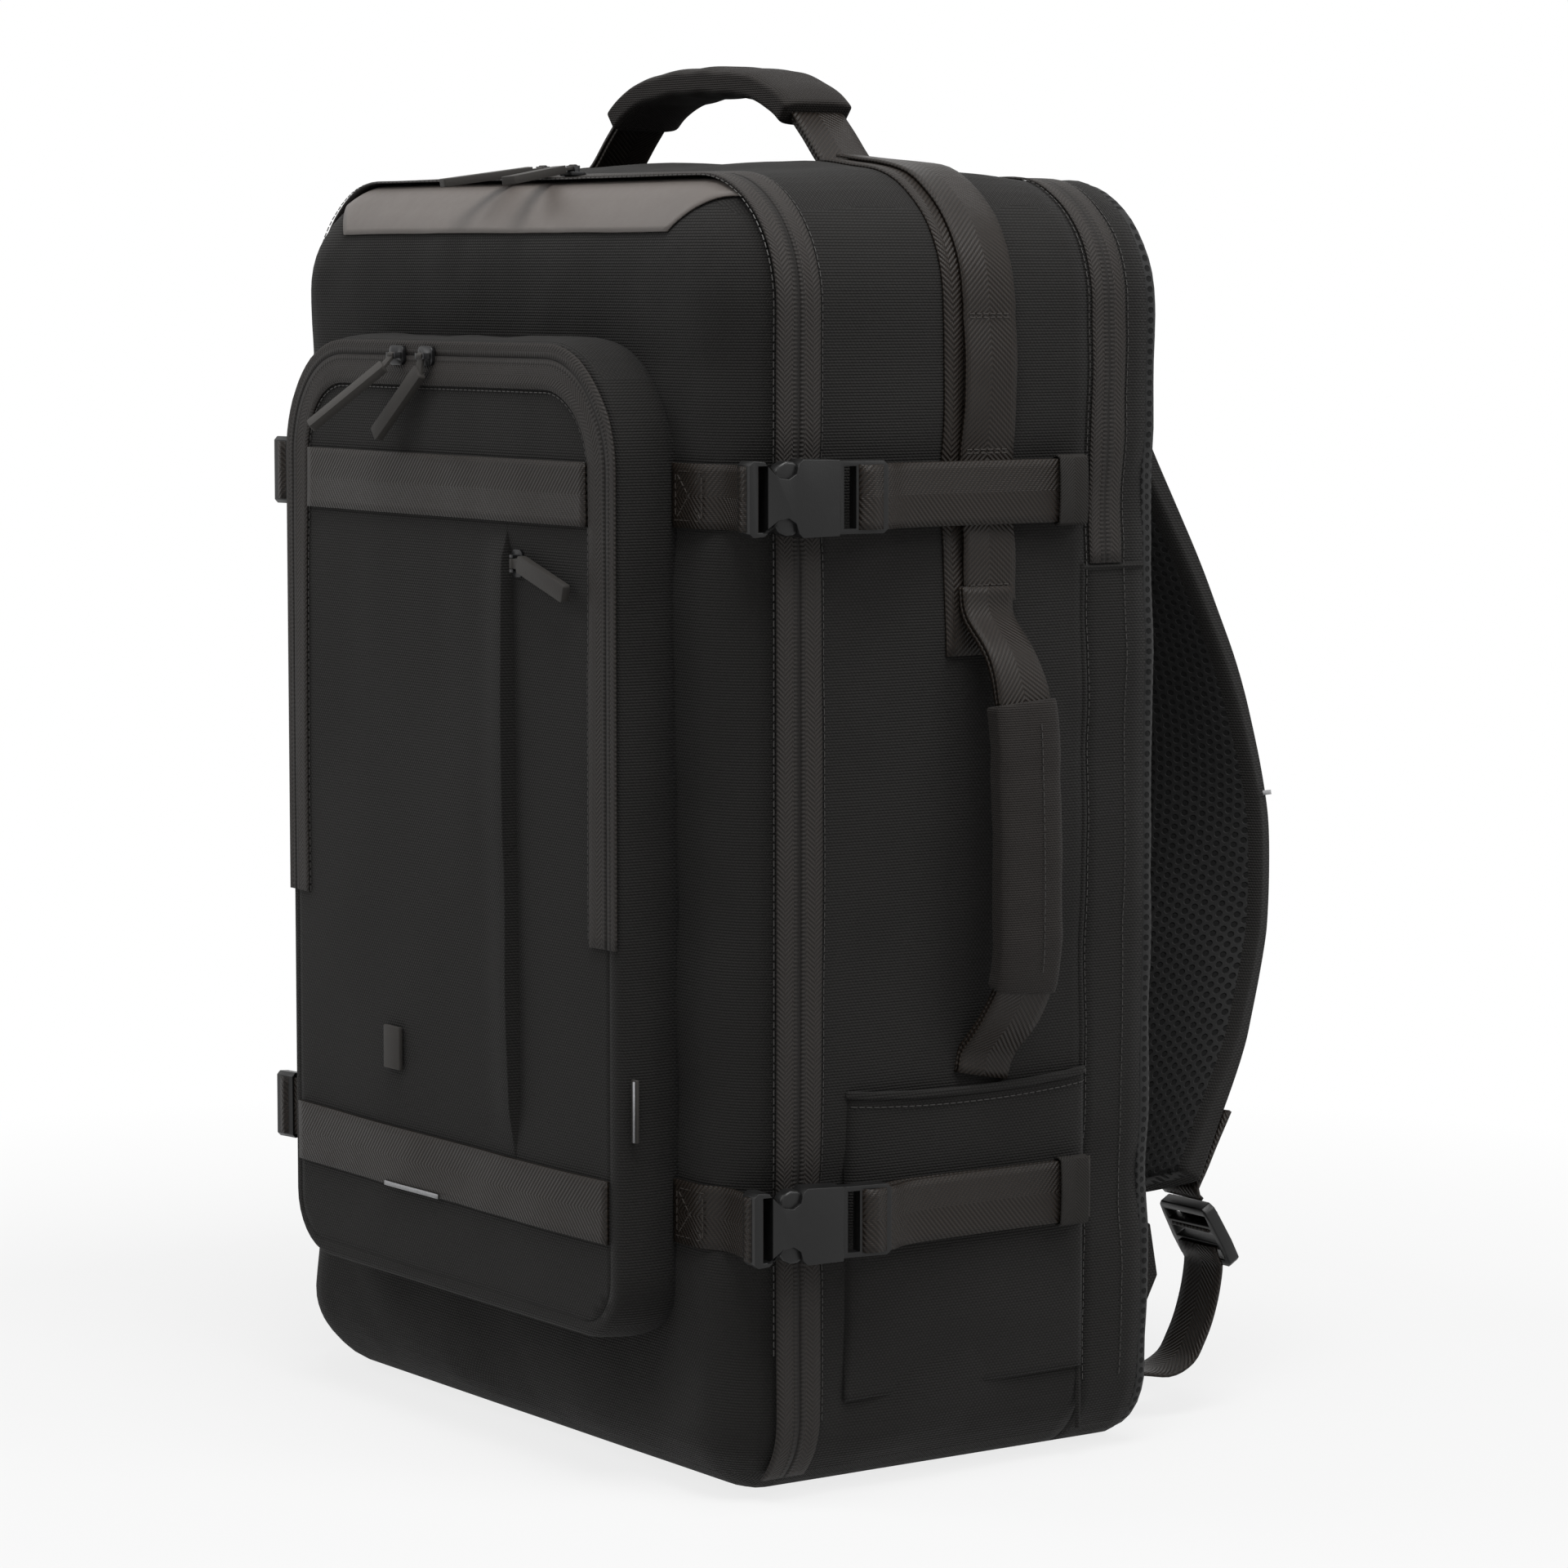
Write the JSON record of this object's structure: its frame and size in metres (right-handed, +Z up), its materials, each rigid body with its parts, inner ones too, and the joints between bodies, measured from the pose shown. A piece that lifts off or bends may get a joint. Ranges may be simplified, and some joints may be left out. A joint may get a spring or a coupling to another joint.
{
  "type": "travel backpack",
  "caption": "Panel-loading travel backpack with a hinged front panel, a zipped front pocket, compression straps with side-release buckles, carry handles and padded shoulder straps.",
  "frame": {"origin": "middle of the flat underside of the bag", "axes": "+X to the right seen from the front, +Y towards the wearer's back, +Z up"},
  "size_m": [0.4108, 0.3834, 0.564],
  "materials": {
    "canvas": "matt woven canvas",
    "lining_foam": "padded fabric",
    "mesh_foam": "spacer mesh over foam",
    "coated_canvas": "smooth satin coating",
    "webbing": "satin woven webbing",
    "elastic": "matt elastic",
    "zip_tape": "woven tape with a covered coil",
    "buckle_plastic": "satin moulded",
    "slider_metal": "black enamel",
    "pull_rubber": "matt moulded",
    "sheet_plastic": "plain sheet"
  },
  "bodies": {
    "bag": {"back_pads": "mesh_foam", "back_panel": "lining_foam", "compression_webbing_rear": "webbing", "divider_panel": "lining_foam", "frame_sheet": "sheet_plastic", "laptop_zip_tape": "zip_tape", "main_shell": "canvas", "main_zip_tape_rear": "zip_tape", "rear_gusset": "canvas", "shoulder_strap_left": "canvas", "shoulder_strap_right": "canvas", "side_handle_grips": "canvas", "side_handle_webbing": "webbing", "side_pockets": "canvas", "sternum_socket": "buckle_plastic", "sternum_webbing": "webbing", "strap_keepers": "elastic", "strap_webbing": "webbing", "strap_wings": "canvas", "top_handle_grip": "canvas", "top_handle_webbing": "webbing"},
    "front_panel": {"front_shell": "canvas", "coated_panel": "coated_canvas", "main_zip_tape_front": "zip_tape", "compression_webbing_front": "webbing", "side_buckle_sockets": "buckle_plastic", "pocket_shell": "canvas", "pocket_zip_tape": "zip_tape", "badge": "pull_rubber"},
    "flap": {"pocket_flap": "canvas", "flap_zip_tape": "zip_tape", "flap_webbing": "webbing"},
    "lower_right_plug": {"lower_right_plug": "buckle_plastic"},
    "lower_right_prong_top": {"lower_right_prong_top": "buckle_plastic"},
    "lower_right_prong_bottom": {"lower_right_prong_bottom": "buckle_plastic"},
    "lower_left_plug": {"lower_left_plug": "buckle_plastic"},
    "lower_left_prong_top": {"lower_left_prong_top": "buckle_plastic"},
    "lower_left_prong_bottom": {"lower_left_prong_bottom": "buckle_plastic"},
    "upper_right_plug": {"upper_right_plug": "buckle_plastic"},
    "upper_right_prong_top": {"upper_right_prong_top": "buckle_plastic"},
    "upper_right_prong_bottom": {"upper_right_prong_bottom": "buckle_plastic"},
    "upper_left_plug": {"upper_left_plug": "buckle_plastic"},
    "upper_left_prong_top": {"upper_left_prong_top": "buckle_plastic"},
    "upper_left_prong_bottom": {"upper_left_prong_bottom": "buckle_plastic"},
    "sternum_plug": {"sternum_plug": "buckle_plastic", "sternum_prongs": "buckle_plastic"},
    "ladder_lock_right": {"ladder_lock_right": "buckle_plastic"},
    "ladder_lock_left": {"ladder_lock_left": "buckle_plastic"},
    "main_right_slider": {"main_right_slider": "slider_metal"},
    "main_right_pull": {"main_right_pull": "pull_rubber"},
    "main_left_slider": {"main_left_slider": "slider_metal"},
    "main_left_pull": {"main_left_pull": "pull_rubber"},
    "pocket_right_slider": {"pocket_right_slider": "slider_metal"},
    "pocket_right_pull": {"pocket_right_pull": "pull_rubber"},
    "pocket_left_slider": {"pocket_left_slider": "slider_metal"},
    "pocket_left_pull": {"pocket_left_pull": "pull_rubber"},
    "slit_slider": {"slit_slider": "slider_metal"},
    "slit_pull": {"slit_pull": "pull_rubber"},
    "laptop_slider": {"laptop_slider": "slider_metal"},
    "laptop_pull": {"laptop_pull": "pull_rubber"}
  },
  "joints": [
    {"name": "front_panel_fold", "type": "hinge", "parent": "bag", "child": "front_panel", "pos_m": [0, -0.1023, 0.05], "axis": [1, 0, 0], "range_deg": [0, 90]},
    {"name": "pocket_flap_fold", "type": "hinge", "parent": "front_panel", "child": "flap", "pos_m": [0, -0.1288, 0.212], "axis": [1, 0, 0], "range_deg": [0, 120]},
    {"name": "lower_right_plug_slide", "type": "slide", "parent": "bag", "child": "lower_right_plug", "axis": [0.1564, 0.9877, 0], "range_m": [0, 0.03], "deforming": ["lower_right_prong_top", "lower_right_prong_bottom", "compression_webbing_rear"]},
    {"name": "lower_right_prong_top_squeeze", "type": "hinge", "parent": "lower_right_plug", "child": "lower_right_prong_top", "pos_m": [0.18728, -0.06624, 0.1216], "axis": [0.9877, -0.1564, 0], "range_deg": [0, 6], "stiffness_Nm_per_rad": 0.3},
    {"name": "lower_right_prong_bottom_squeeze", "type": "hinge", "parent": "lower_right_plug", "child": "lower_right_prong_bottom", "pos_m": [0.18728, -0.06624, 0.1036], "axis": [0.9877, -0.1564, 0], "range_deg": [-6, 0], "stiffness_Nm_per_rad": 0.3},
    {"name": "lower_left_plug_slide", "type": "slide", "parent": "bag", "child": "lower_left_plug", "axis": [-0.1564, 0.9877, 0], "range_m": [0, 0.03], "deforming": ["lower_left_prong_top", "lower_left_prong_bottom", "compression_webbing_rear"]},
    {"name": "lower_left_prong_top_squeeze", "type": "hinge", "parent": "lower_left_plug", "child": "lower_left_prong_top", "pos_m": [-0.18728, -0.06624, 0.1216], "axis": [0.9877, 0.1564, 0], "range_deg": [0, 6], "stiffness_Nm_per_rad": 0.3},
    {"name": "lower_left_prong_bottom_squeeze", "type": "hinge", "parent": "lower_left_plug", "child": "lower_left_prong_bottom", "pos_m": [-0.18728, -0.06624, 0.1036], "axis": [0.9877, 0.1564, 0], "range_deg": [-6, 0], "stiffness_Nm_per_rad": 0.3},
    {"name": "upper_right_plug_slide", "type": "slide", "parent": "bag", "child": "upper_right_plug", "axis": [0.1564, 0.9877, 0], "range_m": [0, 0.03], "deforming": ["upper_right_prong_top", "upper_right_prong_bottom", "compression_webbing_rear"]},
    {"name": "upper_right_prong_top_squeeze", "type": "hinge", "parent": "upper_right_plug", "child": "upper_right_prong_top", "pos_m": [0.18418, -0.06624, 0.402], "axis": [0.9877, -0.1564, 0], "range_deg": [0, 6], "stiffness_Nm_per_rad": 0.3},
    {"name": "upper_right_prong_bottom_squeeze", "type": "hinge", "parent": "upper_right_plug", "child": "upper_right_prong_bottom", "pos_m": [0.18418, -0.06624, 0.384], "axis": [0.9877, -0.1564, 0], "range_deg": [-6, 0], "stiffness_Nm_per_rad": 0.3},
    {"name": "upper_left_plug_slide", "type": "slide", "parent": "bag", "child": "upper_left_plug", "axis": [-0.1564, 0.9877, 0], "range_m": [0, 0.03], "deforming": ["upper_left_prong_top", "upper_left_prong_bottom", "compression_webbing_rear"]},
    {"name": "upper_left_prong_top_squeeze", "type": "hinge", "parent": "upper_left_plug", "child": "upper_left_prong_top", "pos_m": [-0.18418, -0.06624, 0.402], "axis": [0.9877, 0.1564, 0], "range_deg": [0, 6], "stiffness_Nm_per_rad": 0.3},
    {"name": "upper_left_prong_bottom_squeeze", "type": "hinge", "parent": "upper_left_plug", "child": "upper_left_prong_bottom", "pos_m": [-0.18418, -0.06624, 0.384], "axis": [0.9877, 0.1564, 0], "range_deg": [-6, 0], "stiffness_Nm_per_rad": 0.3},
    {"name": "sternum_plug_slide", "type": "slide", "parent": "bag", "child": "sternum_plug", "axis": [-1, 0, 0], "range_m": [0, 0.02], "deforming": ["sternum_prongs", "sternum_webbing"]},
    {"name": "ladder_lock_right_tilt", "type": "hinge", "parent": "bag", "child": "ladder_lock_right", "pos_m": [0.13, 0.15435, 0.08925], "axis": [1, 0, 0], "range_deg": [-20, 20], "deforming": ["strap_webbing"]},
    {"name": "ladder_lock_left_tilt", "type": "hinge", "parent": "bag", "child": "ladder_lock_left", "pos_m": [-0.13, 0.15435, 0.08925], "axis": [1, 0, 0], "range_deg": [-20, 20], "deforming": ["strap_webbing"]},
    {"name": "main_right_slider_slide", "type": "slide", "parent": "front_panel", "child": "main_right_slider", "axis": [1, 0, 0], "range_m": [0, 0.1]},
    {"name": "main_right_pull_swing", "type": "hinge", "parent": "main_right_slider", "child": "main_right_pull", "pos_m": [0.0075, -0.071, 0.5211], "axis": [-1, 0, 0], "range_deg": [0, 150]},
    {"name": "main_left_slider_slide", "type": "slide", "parent": "front_panel", "child": "main_left_slider", "axis": [-1, 0, 0], "range_m": [0, 0.1]},
    {"name": "main_left_pull_swing", "type": "hinge", "parent": "main_left_slider", "child": "main_left_pull", "pos_m": [-0.0155, -0.071, 0.5211], "axis": [-1, 0, 0], "range_deg": [0, 150]},
    {"name": "pocket_right_slider_slide", "type": "slide", "parent": "flap", "child": "pocket_right_slider", "axis": [1, 0, 0], "range_m": [0, 0.085]},
    {"name": "pocket_right_pull_swing", "type": "hinge", "parent": "pocket_right_slider", "child": "pocket_right_pull", "pos_m": [-0.0095, -0.1334, 0.445], "axis": [-1, 0, 0], "range_deg": [-6, 120]},
    {"name": "pocket_left_slider_slide", "type": "slide", "parent": "flap", "child": "pocket_left_slider", "axis": [-1, 0, 0], "range_m": [0, 0.045]},
    {"name": "pocket_left_pull_swing", "type": "hinge", "parent": "pocket_left_slider", "child": "pocket_left_pull", "pos_m": [-0.0325, -0.1334, 0.445], "axis": [-1, 0, 0], "range_deg": [-42, 90]},
    {"name": "slit_slider_slide", "type": "slide", "parent": "flap", "child": "slit_slider", "axis": [0, 0, -1], "range_m": [0, 0.105]},
    {"name": "slit_pull_swing", "type": "hinge", "parent": "slit_slider", "child": "slit_pull", "pos_m": [0.058, -0.1321, 0.364], "axis": [0, 0, -1], "range_deg": [-3, 120]},
    {"name": "laptop_slider_slide", "type": "slide", "parent": "bag", "child": "laptop_slider", "axis": [1, 0, 0], "range_m": [0, 0.09]},
    {"name": "laptop_pull_swing", "type": "hinge", "parent": "laptop_slider", "child": "laptop_pull", "pos_m": [0.03, 0.0743, 0.5211], "axis": [-1, 0, 0], "range_deg": [0, 150]}
  ],
  "couplings": [
    {"joint": "lower_right_prong_bottom_squeeze", "follows": "lower_right_prong_top_squeeze", "ratio": -1},
    {"joint": "lower_left_prong_bottom_squeeze", "follows": "lower_left_prong_top_squeeze", "ratio": -1},
    {"joint": "upper_right_prong_bottom_squeeze", "follows": "upper_right_prong_top_squeeze", "ratio": -1},
    {"joint": "upper_left_prong_bottom_squeeze", "follows": "upper_left_prong_top_squeeze", "ratio": -1}
  ]
}
